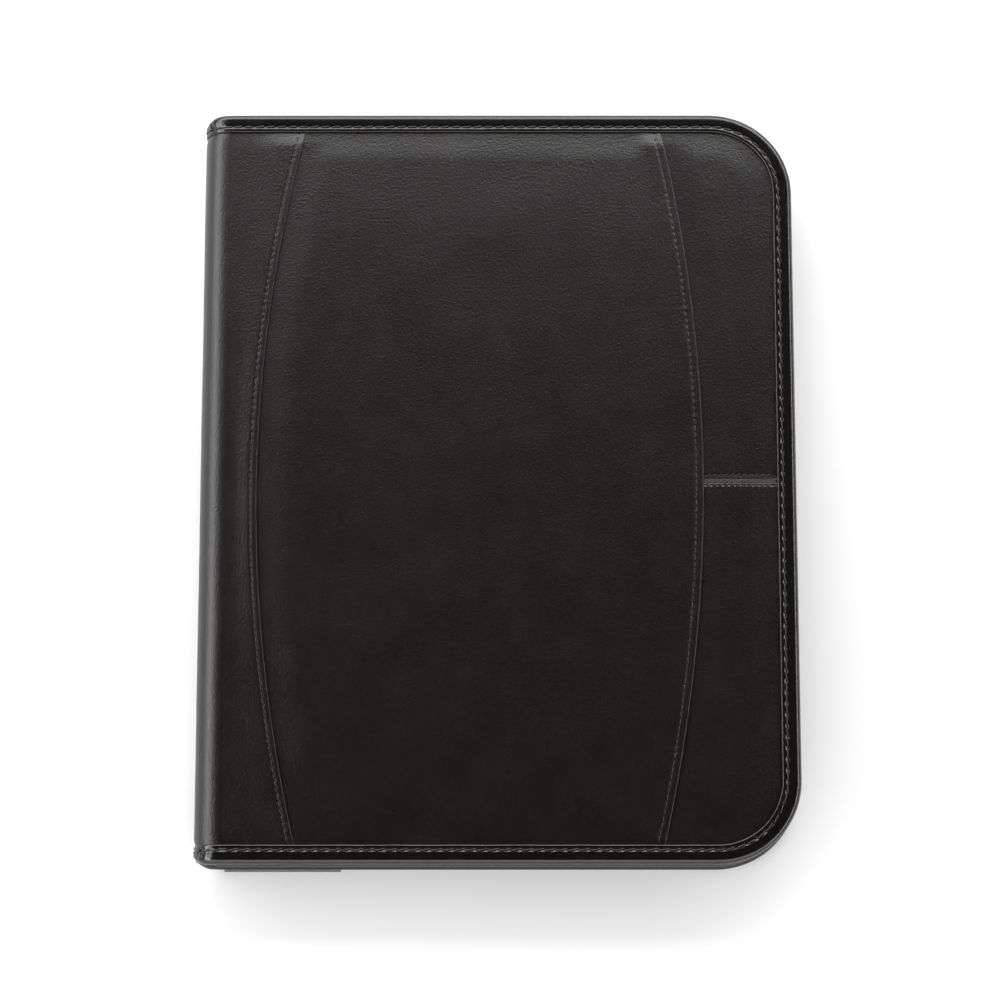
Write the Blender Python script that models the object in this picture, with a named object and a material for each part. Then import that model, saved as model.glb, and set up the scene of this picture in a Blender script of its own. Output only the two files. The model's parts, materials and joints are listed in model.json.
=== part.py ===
"""Portfolio case: a letter-size bound-edge padfolio, closed and lying on its back cover.

Metres, +Z up. The spine runs along Y at the -X side, the fore edge is at +X and the top of a page
points to +Y. The origin is at the centre of the footprint, on the surface that the case lies on.
"""

import math

import bmesh
import bpy

MM = 0.001

# Overall size, closed.
WIDTH = 248 * MM
HEIGHT = 318 * MM
THICKNESS = 24 * MM
CORNER_RADIUS = 34.5 * MM
GAP = 0.3 * MM
HINGE_GAP = 0.15 * MM

# The bound edge: a U-shaped leather strip that wraps each cover's layers.
BINDING_WIDTH = 8 * MM
BINDING_HEIGHT = 5.6 * MM
BINDING_WALL = 0.8 * MM
BINDING_EDGE_WALL = 1.1 * MM
BINDING_ROUND = 2 * MM
LAYER_INSET = BINDING_EDGE_WALL + GAP
OVERLAP_THICKNESS = 0.6 * MM
OVERLAP_GAP = 0.2 * MM
OVERLAP_END = 60 * MM
OVERLAP_MARGIN = 0.4 * MM

# Depth of each layer from a cover's outer face: (nearer, farther).
LEATHER = (1.1 * MM, 2.1 * MM)
BOARD = (2.4 * MM, 3.6 * MM)
THIN_BOARD = (2.8 * MM, 3.6 * MM)
LINING = (3.9 * MM, 4.5 * MM)
FOAM = (1.7 * MM, 2.5 * MM)
PADDED_LEATHER = (0.4 * MM, 1.4 * MM)
LAPPED_LEATHER = (0.0, 0.8 * MM)

# The spine is a half-round shell whose ends meet the covers at the two folds.
SPINE_RADIUS = THICKNESS / 2
SPINE_STEPS = 16
FOLD_X = SPINE_RADIUS + HINGE_GAP - WIDTH / 2

# Seams of the front cover: two arcs bowed away from each other and one straight seam across.
LEFT_SEAM_X = -99.5 * MM
LEFT_SEAM_Y = -3 * MM
LEFT_SEAM_RADIUS = 635 * MM
RIGHT_SEAM_X = 85.5 * MM
RIGHT_SEAM_Y = 2 * MM
RIGHT_SEAM_RADIUS = 680 * MM
CROSS_SEAM_GAP = 0.4 * MM
CROSS_SEAM_DIP = 0.4 * MM
LAP = 8 * MM
LAP_RISE = 2.5 * MM
PAD_RISE = 4 * MM
EDGE_FLAT = 8.8 * MM
EDGE_RISE = 14 * MM
FOAM_EASE = 3 * MM

# The writing pad: letter paper on a backing board, taped along its top edge.
PAD_WIDTH = 216 * MM
PAD_LENGTH = 279 * MM
PAD_LEFT = -105.5 * MM
PAD_BOTTOM = -137 * MM
PAD_BACKING_Z = (6.6 * MM, 7.4 * MM)
PAD_PAPER_Z = (8.8 * MM, 13.4 * MM)
PAD_TAPE_Z = (5.9 * MM, 14.1 * MM)
PAD_TAPE_WALL = 0.4 * MM
PAD_TAPE_LENGTH = 10 * MM

# Pockets: a panel with a turned edge on three sides and a hem along its open mouth.
POCKET_PANEL = 0.8 * MM
POCKET_EDGE = 1.2 * MM
POCKET_EASE = 0.7 * MM
HEM_WIDTH = 5 * MM
PAD_POCKET_MOUTH = 97 * MM
PAD_POCKET_CORNER = 4 * MM
PAD_POCKET_TOP_Z = 8.5 * MM
DOCUMENT_POCKET_LEFT = -103.5 * MM
DOCUMENT_POCKET_MOUTH = 80 * MM
DOCUMENT_POCKET_INSET = 8.6 * MM
DOCUMENT_POCKET_Z = 17.3 * MM
CARD_POCKET_WIDTH = 98 * MM
CARD_POCKET_LEFT = -40 * MM
CARD_POCKET_BOTTOM = -60 * MM
CARD_POCKET_HEIGHT = 64 * MM
CARD_POCKET_STEP = 18 * MM
CARD_POCKET_THICKNESS = 0.6 * MM
CARD_POCKET_CORNER = 4 * MM
CARD_POCKET_COUNT = 3

# The pen loop: an elastic band standing in the gutter against the spine's lining.
PEN_LOOP_X = FOLD_X - 1.5 * MM
PEN_LOOP_RADIUS = 5.25 * MM
PEN_LOOP_BORE = 4.25 * MM
PEN_LOOP_LENGTH = 40 * MM
PEN_LOOP_STEPS = 20

CORNER_STEPS = 12
LONG_STEPS = 10
SIDE_COLUMNS = 6

BLACK_LEATHER = ((0.022, 0.021, 0.020), 0.45)
BINDING_LEATHER = ((0.018, 0.017, 0.016), 0.35)
BLACK_FABRIC = ((0.030, 0.030, 0.032), 0.85)
GREY_BOARD = ((0.32, 0.31, 0.29), 0.9)
FOAM_GREY = ((0.25, 0.25, 0.26), 0.95)
PAPER_WHITE = ((0.86, 0.85, 0.80), 0.9)
TAPE_BLACK = ((0.03, 0.03, 0.03), 0.6)


def clear_scene():
    for obj in list(bpy.data.objects):
        bpy.data.objects.remove(obj, do_unlink=True)


def material_of(name, look):
    colour, roughness = look
    material = bpy.data.materials.new(name)
    material.use_nodes = True
    shader = material.node_tree.nodes["Principled BSDF"]
    shader.inputs["Base Color"].default_value = (*colour, 1.0)
    shader.inputs["Roughness"].default_value = roughness
    shader.inputs["Metallic"].default_value = 0.0
    return material


def add_object(name, mesh_edit, look, body, smooth=True):
    """Makes the named object of one sub-part, with its origin on its body's joint axis."""
    bmesh.ops.recalc_face_normals(mesh_edit, faces=mesh_edit.faces)
    mesh = bpy.data.meshes.new(name)
    bmesh.ops.translate(mesh_edit, verts=mesh_edit.verts, vec=[-c for c in body.location])
    mesh_edit.to_mesh(mesh)
    mesh_edit.free()
    if smooth:
        mesh.shade_smooth()
        mesh.set_sharp_from_angle(angle=math.radians(40))
    mesh.materials.append(material_of(name, look))
    obj = bpy.data.objects.new(name, mesh)
    obj.parent = body
    bpy.context.scene.collection.objects.link(obj)
    return obj


def add_body(name, location, parent=None):
    """An empty on a moving body's joint axis. Its location is in the frame of its parent."""
    empty = bpy.data.objects.new(name, None)
    empty.location = location
    empty.parent = parent
    bpy.context.scene.collection.objects.link(empty)
    return empty


def arc(centre, radius, start, end, steps):
    """Points on an arc, both ends included, with its angles in degrees."""
    points = []
    for step in range(steps + 1):
        angle = math.radians(start + (end - start) * step / steps)
        points.append((centre[0] + radius * math.cos(angle), centre[1] + radius * math.sin(angle)))
    return points


def cover_edge(inset, left=FOLD_X + HINGE_GAP):
    """A cover's outline, moved inwards by inset: from the fold round the fore edge to the fold."""
    radius = CORNER_RADIUS - inset
    centre_x = WIDTH / 2 - CORNER_RADIUS
    centre_y = HEIGHT / 2 - CORNER_RADIUS
    top = HEIGHT / 2 - inset
    return [
        (left, top),
        *arc((centre_x, centre_y), radius, 90, 0, CORNER_STEPS),
        *arc((centre_x, -centre_y), radius, 0, -90, CORNER_STEPS),
        (left, -top),
    ]


def rounded_box(left, right, bottom, top, corner, corner_steps=5):
    """An upright outline with two round lower corners."""
    return [
        (right, top),
        (left, top),
        *arc((left + corner, bottom + corner), corner, 180, 270, corner_steps),
        *arc((right - corner, bottom + corner), corner, 270, 360, corner_steps),
    ]


def plate_mesh(outline, bottom, top):
    """An outline in the XY plane, extruded from bottom to top."""
    edit = bmesh.new()
    face = edit.faces.new([edit.verts.new((x, y, bottom)) for x, y in outline])
    extruded = bmesh.ops.extrude_face_region(edit, geom=[face])["geom"]
    raised = [item for item in extruded if isinstance(item, bmesh.types.BMVert)]
    bmesh.ops.translate(edit, verts=raised, vec=(0, 0, top - bottom))
    return edit


def prism_mesh(profile, start, end, axis):
    """A profile extruded along X or Y. Its points are (y, z) along X, and (x, z) along Y."""
    edit = bmesh.new()
    if axis == "X":
        ring = [edit.verts.new((start, first, z)) for first, z in profile]
        way = (end - start, 0, 0)
    else:
        ring = [edit.verts.new((first, start, z)) for first, z in profile]
        way = (0, end - start, 0)
    extruded = bmesh.ops.extrude_face_region(edit, geom=[edit.faces.new(ring)])["geom"]
    moved = [item for item in extruded if isinstance(item, bmesh.types.BMVert)]
    bmesh.ops.translate(edit, verts=moved, vec=way)
    return edit


def layer_z(depths, front):
    """(bottom, top) of a layer at these depths from the outer face of the front or back cover."""
    if front:
        return THICKNESS - depths[1], THICKNESS - depths[0]
    return depths


def binding_profile():
    """The section of the bound edge: (distance in from the edge, depth from the outer face)."""
    far = BINDING_HEIGHT - BINDING_ROUND
    outside = [
        (BINDING_WIDTH, 0.0),
        *arc((BINDING_ROUND, BINDING_ROUND), BINDING_ROUND, 270, 180, 4),
        *arc((BINDING_ROUND, far), BINDING_ROUND, 180, 90, 4),
        (BINDING_WIDTH, BINDING_HEIGHT),
    ]
    inside = [
        (BINDING_WIDTH, BINDING_HEIGHT - BINDING_WALL),
        (BINDING_EDGE_WALL, BINDING_HEIGHT - BINDING_WALL),
        (BINDING_EDGE_WALL, BINDING_WALL),
        (BINDING_WIDTH, BINDING_WALL),
    ]
    return outside + inside


def bridged_mesh(rings):
    """A closed tube through rings of equally many points, with both ends capped."""
    edit = bmesh.new()
    loops = [[edit.verts.new(point) for point in ring] for ring in rings]
    count = len(rings[0])
    for first, second in zip(loops, loops[1:]):
        for index in range(count):
            after = (index + 1) % count
            edit.faces.new((first[index], first[after], second[after], second[index]))
    edit.faces.new(loops[0])
    edit.faces.new(loops[-1])
    return edit


def cover_binding_mesh(front):
    """The bound edge of a cover, swept along its three free sides."""
    profile = binding_profile()
    widest = cover_edge(0.0)
    rings = []
    for index, (x, y) in enumerate(widest):
        inner_x, inner_y = cover_edge(BINDING_WIDTH)[index]
        ring = []
        for distance, depth in profile:
            share = distance / BINDING_WIDTH
            z = THICKNESS - depth if front else depth
            ring.append((x + (inner_x - x) * share, y + (inner_y - y) * share, z))
        rings.append(ring)
    return bridged_mesh(rings)


def spine_binding_mesh(side):
    """The bound edge round one end of the spine. side is 1 at the top and -1 at the bottom."""
    rings = []
    for step in range(SPINE_STEPS + 1):
        angle = math.radians(90 + 180 * step / SPINE_STEPS)
        ring = []
        for distance, depth in binding_profile():
            radius = SPINE_RADIUS - depth
            x = FOLD_X - HINGE_GAP + radius * math.cos(angle)
            y = side * (HEIGHT / 2 - distance)
            ring.append((x, y, SPINE_RADIUS + radius * math.sin(angle)))
        rings.append(ring)
    return bridged_mesh(rings)


def spine_shell_mesh(depths):
    """A layer of the half-round spine, at these depths from its outer face."""
    centre = (FOLD_X - HINGE_GAP, SPINE_RADIUS)
    outer = arc(centre, SPINE_RADIUS - depths[0], 90, 270, SPINE_STEPS)
    inner = arc(centre, SPINE_RADIUS - depths[1], 270, 90, SPINE_STEPS)
    reach = HEIGHT / 2 - LAYER_INSET
    return prism_mesh(outer + inner, -reach, reach, "Y")


def left_seam(y):
    """X of the spine-side panel's lapped edge."""
    return LEFT_SEAM_X + (y - LEFT_SEAM_Y) ** 2 / (2 * LEFT_SEAM_RADIUS)


def right_seam(y):
    """X of the centre panel's lapped edge."""
    return RIGHT_SEAM_X - (y - RIGHT_SEAM_Y) ** 2 / (2 * RIGHT_SEAM_RADIUS)


def fore_edge(y):
    """X of the layers' outline at the fore edge, with its two round corners."""
    centre_y = HEIGHT / 2 - CORNER_RADIUS
    centre_x = WIDTH / 2 - CORNER_RADIUS
    radius = CORNER_RADIUS - LAYER_INSET
    past = min(max(abs(y) - centre_y, 0.0), radius)
    return centre_x + math.sqrt(radius**2 - past**2)


def edge_distance(x, y):
    """Distance from (x, y) in to the nearest bound edge of a cover."""
    centre_x = WIDTH / 2 - CORNER_RADIUS
    centre_y = HEIGHT / 2 - CORNER_RADIUS
    if x > centre_x and abs(y) > centre_y:
        return CORNER_RADIUS - math.hypot(x - centre_x, abs(y) - centre_y)
    return min(WIDTH / 2 - x, HEIGHT / 2 - abs(y))


def ramp(value, start, end):
    return min(max((value - start) / (end - start), 0.0), 1.0)


def blend(low, high, share):
    return tuple(a + (b - a) * share for a, b in zip(low, high))


def padded_depths(x, y, rise):
    """Depths of a padded panel: flat under the binding, and rise (0 to 1) of the way up inside."""
    inside = ramp(edge_distance(x, y), EDGE_FLAT, EDGE_RISE)
    return blend(LEATHER, PADDED_LEATHER, min(inside, rise))


def spine_side_depths(x, y):
    inside = ramp(HEIGHT / 2 - abs(y), EDGE_FLAT, EDGE_RISE)
    return blend(LEATHER, LAPPED_LEATHER, min(inside, ramp(x, FOLD_X, left_seam(y) - LAP)))


def centre_depths(x, y):
    depths = padded_depths(x, y, ramp(x, left_seam(y) + GAP, left_seam(y) + PAD_RISE))
    lapped = ramp(x, right_seam(y) - LAP - LAP_RISE, right_seam(y) - LAP - GAP)
    inside = ramp(HEIGHT / 2 - abs(y), EDGE_FLAT, EDGE_RISE)
    return blend(depths, blend(LEATHER, LAPPED_LEATHER, inside), lapped)


def side_depths(x, y):
    near, far = padded_depths(x, y, ramp(x, right_seam(y) + GAP, right_seam(y) + PAD_RISE))
    dip = CROSS_SEAM_DIP * (1 - ramp(abs(y), CROSS_SEAM_GAP, 2.5 * MM)) * (far < LEATHER[1])
    return near + dip, far


def row_positions(bottom, top):
    """Rows of a panel: close where it rises from the binding and round the corners."""
    reach = HEIGHT / 2 - LAYER_INSET
    corner_y = HEIGHT / 2 - CORNER_RADIUS
    radius = CORNER_RADIUS - LAYER_INSET
    flap = HEIGHT / 2 - EDGE_RISE
    rows = {reach, HEIGHT / 2 - EDGE_FLAT, flap - GAP}
    rows |= {corner_y + radius * math.sin(math.radians(90 * k / CORNER_STEPS)) for k in range(CORNER_STEPS)}
    rows |= {corner_y * k / LONG_STEPS for k in range(LONG_STEPS)}
    rows |= {2.5 * MM}
    both = sorted(rows | {-y for y in rows if y > 0})
    inner = [y for y in both if bottom < y < top and min(y - bottom, top - y) > 0.4 * MM]
    return [bottom, *inner, top]


def panel_mesh(rows, columns_at, depths_at, keep):
    """A leather panel of the front cover, on a grid of rows and of columns that follow the seams."""
    edit = bmesh.new()
    grid = [[edit.verts.new((x, y, 0.0)) for x in columns_at(y)] for y in rows]
    for row in range(len(rows) - 1):
        for column in range(len(grid[0]) - 1):
            if keep(column, (rows[row] + rows[row + 1]) / 2):
                corners = (grid[row][column], grid[row][column + 1])
                edit.faces.new((*corners, grid[row + 1][column + 1], grid[row + 1][column]))
    bmesh.ops.delete(edit, geom=[v for v in edit.verts if not v.link_faces], context="VERTS")
    lower = list(edit.verts)
    extruded = bmesh.ops.extrude_face_region(edit, geom=list(edit.faces))["geom"]
    upper = [item for item in extruded if isinstance(item, bmesh.types.BMVert)]
    for vert in lower:
        vert.co.z = THICKNESS - depths_at(vert.co.x, vert.co.y)[1]
    for vert in upper:
        vert.co.z = THICKNESS - depths_at(vert.co.x, vert.co.y)[0]
    return edit


def keep_flap(column, y):
    """The first column is the flap under the neighbour's lap, trimmed short of the bound edges."""
    return column > 0 or abs(y) < HEIGHT / 2 - EDGE_RISE - GAP


def keep_all(column, y):
    return True


def spine_side_columns(y):
    start = FOLD_X + HINGE_GAP
    end = left_seam(y)
    return [start, start + (end - LAP - start) / 2, end - LAP, end - LAP / 2, end]


def centre_columns(y):
    start = left_seam(y)
    end = right_seam(y)
    flap = [start - LAP + GAP, start + GAP, start + PAD_RISE]
    lap = [end - LAP - LAP_RISE, end - LAP - GAP, end]
    return [*flap, 0.0, *lap]


def side_columns(y):
    start = right_seam(y)
    padded = start + PAD_RISE
    width = fore_edge(y) - padded
    spread = [padded + width * step / SIDE_COLUMNS for step in range(SIDE_COLUMNS + 1)]
    return [start - LAP + GAP, start + GAP, *spread]


def foam_mesh(left_of, right_of):
    """A foam pad between two seams, clear of where the leather dips to the binding."""
    reach = HEIGHT / 2 - EDGE_RISE - FOAM_EASE
    rows = row_positions(-reach, reach)
    outline = [(right_of(y), y) for y in rows] + [(left_of(y), y) for y in reversed(rows)]
    return plate_mesh(outline, *layer_z(FOAM, True))


def padded_fore_edge(y):
    """X where the padded side panels start to dip to the fore edge's binding."""
    inner = CORNER_RADIUS - EDGE_RISE - FOAM_EASE
    past = min(max(abs(y) - (HEIGHT / 2 - CORNER_RADIUS), 0.0), inner)
    return WIDTH / 2 - CORNER_RADIUS + math.sqrt(inner**2 - past**2)


def cavity_cutter(name, outline, bottom, top):
    edit = plate_mesh(outline, bottom, top)
    bmesh.ops.recalc_face_normals(edit, faces=edit.faces)
    mesh = bpy.data.meshes.new(name)
    edit.to_mesh(mesh)
    edit.free()
    cutter = bpy.data.objects.new(name, mesh)
    cutter.hide_render = True
    cutter.display_type = "WIRE"
    bpy.context.scene.collection.objects.link(cutter)
    return cutter


def hollow(obj, cutter):
    cut = obj.modifiers.new("pocket", "BOOLEAN")
    cut.operation = "DIFFERENCE"
    cut.solver = "EXACT"
    cut.object = cutter


def build_cover_layers(body, front):
    """The lining, board and bound edge that both covers have."""
    side = "front" if front else "back"
    board = THIN_BOARD if front else BOARD
    outline = cover_edge(LAYER_INSET)
    add_object(f"{side}_board", plate_mesh(outline, *layer_z(board, front)), GREY_BOARD, body)
    add_object(f"{side}_lining", plate_mesh(outline, *layer_z(LINING, front)), BLACK_FABRIC, body)
    add_object(f"{side}_binding", cover_binding_mesh(front), BINDING_LEATHER, body)


def build_back_cover(body):
    build_cover_layers(body, False)
    leather = plate_mesh(cover_edge(LAYER_INSET), *LEATHER)
    add_object("back_outer_leather", leather, BLACK_LEATHER, body)
    edge = -HEIGHT / 2 - OVERLAP_GAP
    corner = BINDING_ROUND
    profile = [
        (edge, corner),
        (edge, BINDING_HEIGHT - corner),
        (edge - OVERLAP_THICKNESS, BINDING_HEIGHT - corner - OVERLAP_MARGIN),
        (edge - OVERLAP_THICKNESS, corner + OVERLAP_MARGIN),
    ]
    end = OVERLAP_END - WIDTH / 2
    strip = prism_mesh(profile, FOLD_X + HINGE_GAP, end, "X")
    add_object("back_binding_overlap", strip, BINDING_LEATHER, body, smooth=False)
    build_pad_pocket(body)


def build_pad_pocket(body):
    left = PAD_LEFT - POCKET_EASE
    right = PAD_LEFT + PAD_WIDTH + POCKET_EASE
    bottom = PAD_BOTTOM - POCKET_EASE
    edge_z = LINING[1] + GAP
    inner_corner = PAD_POCKET_CORNER / 2
    outer = (left - POCKET_EDGE, right + POCKET_EDGE, bottom - POCKET_EDGE)
    block = plate_mesh(
        rounded_box(*outer, PAD_POCKET_MOUTH, PAD_POCKET_CORNER), edge_z, PAD_POCKET_TOP_Z
    )
    panel = add_object("pad_pocket_panel", block, BLACK_FABRIC, body)
    cavity = rounded_box(left, right, bottom, PAD_POCKET_MOUTH + HEM_WIDTH, inner_corner)
    ceiling = PAD_POCKET_TOP_Z - POCKET_PANEL
    hollow(panel, cavity_cutter("pad_pocket_cavity", cavity, edge_z - HEM_WIDTH, ceiling))
    hem = rounded_box(
        outer[0], outer[1], PAD_POCKET_MOUTH + GAP, PAD_POCKET_MOUTH + HEM_WIDTH, MM
    )
    strip = plate_mesh(hem, ceiling, PAD_POCKET_TOP_Z)
    add_object("pad_pocket_hem", strip, BINDING_LEATHER, body, smooth=False)


def build_writing_pad(body):
    right = PAD_LEFT + PAD_WIDTH
    top = PAD_BOTTOM + PAD_LENGTH
    sheet = [(PAD_LEFT, PAD_BOTTOM), (right, PAD_BOTTOM), (right, top), (PAD_LEFT, top)]
    backing = plate_mesh(sheet, *PAD_BACKING_Z)
    add_object("pad_backing_board", backing, GREY_BOARD, body, smooth=False)
    paper = plate_mesh(sheet, *PAD_PAPER_Z)
    add_object("pad_paper_block", paper, PAPER_WHITE, body, smooth=False)
    low, high = PAD_TAPE_Z
    start = top - PAD_TAPE_LENGTH
    near = top + GAP
    far = near + PAD_TAPE_WALL
    profile = [
        (start, low),
        (far, low),
        (far, high),
        (start, high),
        (start, high - PAD_TAPE_WALL),
        (near, high - PAD_TAPE_WALL),
        (near, low + PAD_TAPE_WALL),
        (start, low + PAD_TAPE_WALL),
    ]
    tape = prism_mesh(profile, PAD_LEFT, right, "X")
    add_object("pad_top_tape", tape, TAPE_BLACK, body, smooth=False)


def build_spine(body):
    add_object("spine_outer_leather", spine_shell_mesh(LEATHER), BLACK_LEATHER, body)
    add_object("spine_stiffener", spine_shell_mesh(BOARD), GREY_BOARD, body)
    add_object("spine_lining", spine_shell_mesh(LINING), BLACK_FABRIC, body)
    add_object("spine_binding_top", spine_binding_mesh(1), BINDING_LEATHER, body)
    add_object("spine_binding_bottom", spine_binding_mesh(-1), BINDING_LEATHER, body)
    centre = (PEN_LOOP_X, SPINE_RADIUS)
    outline = arc(centre, PEN_LOOP_RADIUS, 0, 360, PEN_LOOP_STEPS)[:-1]
    bore = arc(centre, PEN_LOOP_BORE, 0, 360, PEN_LOOP_STEPS)[:-1]
    add_object("pen_loop", tube_mesh(outline, bore, PEN_LOOP_LENGTH), BLACK_FABRIC, body)


def tube_mesh(outline, bore, length):
    """A tube along Y between two outlines of equally many (x, z) points."""
    edit = bmesh.new()
    loops = []
    for points in (outline, bore):
        for y in (-length / 2, length / 2):
            loops.append([edit.verts.new((x, y, z)) for x, z in points])
    near_out, far_out, near_in, far_in = loops
    for first, second in ((near_out, far_out), (far_out, far_in), (far_in, near_in), (near_in, near_out)):
        for index in range(len(first)):
            after = (index + 1) % len(first)
            edit.faces.new((first[index], first[after], second[after], second[index]))
    return edit


def build_front_panels(body):
    reach = HEIGHT / 2 - LAYER_INSET
    whole = row_positions(-reach, reach)
    spine_side = panel_mesh(whole, spine_side_columns, spine_side_depths, keep_all)
    add_object("front_spine_side_panel", spine_side, BLACK_LEATHER, body)
    centre = panel_mesh(whole, centre_columns, centre_depths, keep_flap)
    add_object("front_center_panel", centre, BLACK_LEATHER, body)
    half_gap = CROSS_SEAM_GAP / 2
    upper = panel_mesh(row_positions(half_gap, reach), side_columns, side_depths, keep_flap)
    add_object("front_upper_side_panel", upper, BLACK_LEATHER, body)
    lower = panel_mesh(row_positions(-reach, -half_gap), side_columns, side_depths, keep_flap)
    add_object("front_lower_side_panel", lower, BLACK_LEATHER, body)
    centre_foam = foam_mesh(
        lambda y: left_seam(y) + PAD_RISE + GAP, lambda y: right_seam(y) - LAP - LAP_RISE
    )
    add_object("front_center_foam", centre_foam, FOAM_GREY, body)
    side_foam = foam_mesh(lambda y: right_seam(y) + PAD_RISE + GAP, padded_fore_edge)
    add_object("front_side_foam", side_foam, FOAM_GREY, body)


def build_document_pocket(body):
    inset = DOCUMENT_POCKET_INSET
    mouth = DOCUMENT_POCKET_MOUTH
    lower_edge = [point for point in cover_edge(inset) if point[1] < 0]
    left_bottom = (DOCUMENT_POCKET_LEFT, inset - HEIGHT / 2)
    right = WIDTH / 2 - inset
    outline = [(DOCUMENT_POCKET_LEFT, mouth), (right, mouth), *lower_edge[:-1], left_bottom]
    edge_z = THICKNESS - LINING[1] - GAP
    block = plate_mesh(outline, DOCUMENT_POCKET_Z, edge_z)
    panel = add_object("document_pocket_panel", block, BLACK_FABRIC, body)
    inner = inset + POCKET_EDGE
    inner_edge = [point for point in cover_edge(inner) if point[1] < 0]
    beyond = mouth + HEM_WIDTH
    inner_left = DOCUMENT_POCKET_LEFT + POCKET_EDGE
    inner_bottom = (inner_left, inner - HEIGHT / 2)
    cavity = [(inner_left, beyond), (WIDTH / 2 - inner, beyond), *inner_edge[:-1], inner_bottom]
    floor = DOCUMENT_POCKET_Z + POCKET_PANEL
    hollow(panel, cavity_cutter("document_pocket_cavity", cavity, floor, edge_z + HEM_WIDTH))
    hem = rounded_box(DOCUMENT_POCKET_LEFT, right, mouth + GAP, mouth + HEM_WIDTH, MM)
    strip = plate_mesh(hem, DOCUMENT_POCKET_Z, floor)
    add_object("document_pocket_hem", strip, BINDING_LEATHER, body, smooth=False)


def build_card_pockets(body):
    for tier in range(CARD_POCKET_COUNT):
        top_z = DOCUMENT_POCKET_Z - GAP - tier * (CARD_POCKET_THICKNESS + GAP)
        height = CARD_POCKET_HEIGHT + (CARD_POCKET_COUNT - 1 - tier) * CARD_POCKET_STEP
        outline = rounded_box(
            CARD_POCKET_LEFT,
            CARD_POCKET_LEFT + CARD_POCKET_WIDTH,
            CARD_POCKET_BOTTOM,
            CARD_POCKET_BOTTOM + height,
            CARD_POCKET_CORNER,
        )
        pocket = plate_mesh(outline, top_z - CARD_POCKET_THICKNESS, top_z)
        add_object(f"card_pocket_{tier + 1}", pocket, BLACK_LEATHER, body, smooth=False)


def build_front_cover(body):
    build_cover_layers(body, True)
    build_front_panels(body)
    build_document_pocket(body)
    build_card_pockets(body)


def main():
    clear_scene()
    # The strip that laps the back binding sticks out at the bottom, so the case is set that
    # little higher on the page for the origin to be at the centre of the footprint.
    centring = (OVERLAP_THICKNESS + OVERLAP_GAP) / 2
    case = add_body("case", (0, 0, 0))
    spine = add_body("spine", (FOLD_X, 0, 0), case)
    cover = add_body("front_cover", (FOLD_X, 0, THICKNESS), case)
    pad = add_body("writing_pad", (0, PAD_BOTTOM, 0), case)
    build_back_cover(case)
    build_spine(spine)
    build_front_cover(cover)
    build_writing_pad(pad)
    case.location.y = centring


main()
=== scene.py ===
"""Looks of the portfolio case: leather panels, bound edges, stitching, lining, pockets and writing pad.

Lengths are in metres, in the row frame: +Z up, spine along Y at -X. Sizes and places are read from the frame.
"""

import json
import math

import bpy
import numpy as np
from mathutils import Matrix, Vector


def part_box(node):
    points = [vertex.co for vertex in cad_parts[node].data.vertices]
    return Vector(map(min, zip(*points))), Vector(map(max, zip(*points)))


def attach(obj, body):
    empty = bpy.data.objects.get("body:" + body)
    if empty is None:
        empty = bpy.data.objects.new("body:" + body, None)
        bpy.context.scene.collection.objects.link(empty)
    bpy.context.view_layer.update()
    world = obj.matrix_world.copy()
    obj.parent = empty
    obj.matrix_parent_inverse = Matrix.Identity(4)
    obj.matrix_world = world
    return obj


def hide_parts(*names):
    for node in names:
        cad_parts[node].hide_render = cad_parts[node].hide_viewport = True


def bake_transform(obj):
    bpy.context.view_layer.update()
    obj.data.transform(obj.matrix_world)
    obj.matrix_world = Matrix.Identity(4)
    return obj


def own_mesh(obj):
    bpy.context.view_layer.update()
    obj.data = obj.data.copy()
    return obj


MM = 0.001
TAU = 2 * math.pi

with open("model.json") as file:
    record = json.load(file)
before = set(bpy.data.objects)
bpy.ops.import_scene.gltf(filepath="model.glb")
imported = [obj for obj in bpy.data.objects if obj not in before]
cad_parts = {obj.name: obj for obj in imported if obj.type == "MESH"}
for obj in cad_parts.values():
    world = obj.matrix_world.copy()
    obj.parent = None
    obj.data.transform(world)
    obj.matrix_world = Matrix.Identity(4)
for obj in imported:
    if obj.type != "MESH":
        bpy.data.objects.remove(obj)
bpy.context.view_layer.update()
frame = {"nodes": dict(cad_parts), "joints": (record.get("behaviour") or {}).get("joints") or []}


# ---------------------------------------------------------------- what the frame says


def points_of(node):
    return np.array([v.co for v in frame["nodes"][node].data.vertices])


def joint_named(name):
    return next(joint for joint in frame["joints"] if joint["name"] == name)


FOLD_X = joint_named("spine_fold")["pos_m"][0]
THICKNESS = joint_named("front_fold")["pos_m"][2]
BINDING_LOW, BINDING_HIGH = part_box("front_binding")
CENTRE_Y = (BINDING_LOW.y + BINDING_HIGH.y) / 2
HALF_HEIGHT = (BINDING_HIGH.y - BINDING_LOW.y) / 2
EDGE_X = BINDING_HIGH.x
BINDING_HEIGHT = BINDING_HIGH.z - BINDING_LOW.z
_rim = points_of("front_binding")
STRAIGHT = _rim[_rim[:, 0] > EDGE_X - 0.01 * MM, 1].max() - CENTRE_Y
CORNER_RADIUS = HALF_HEIGHT - STRAIGHT
CORNER_X = EDGE_X - CORNER_RADIUS
SPINE_RADIUS = THICKNESS / 2


def edge_curve(node):
    """X of a node's right-hand edge at each Y, as a function."""
    points = points_of(node)
    rows = np.unique(np.round(points[:, 1], 5))
    edges = [points[np.abs(points[:, 1] - y) < 2e-5, 0].max() for y in rows]
    return lambda y: np.interp(y, rows, edges)


left_seam = edge_curve("front_spine_side_panel")
right_seam = edge_curve("front_center_panel")
CROSS_SEAM = CENTRE_Y

# ---------------------------------------------------------------- sizes of the surface detail

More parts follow.
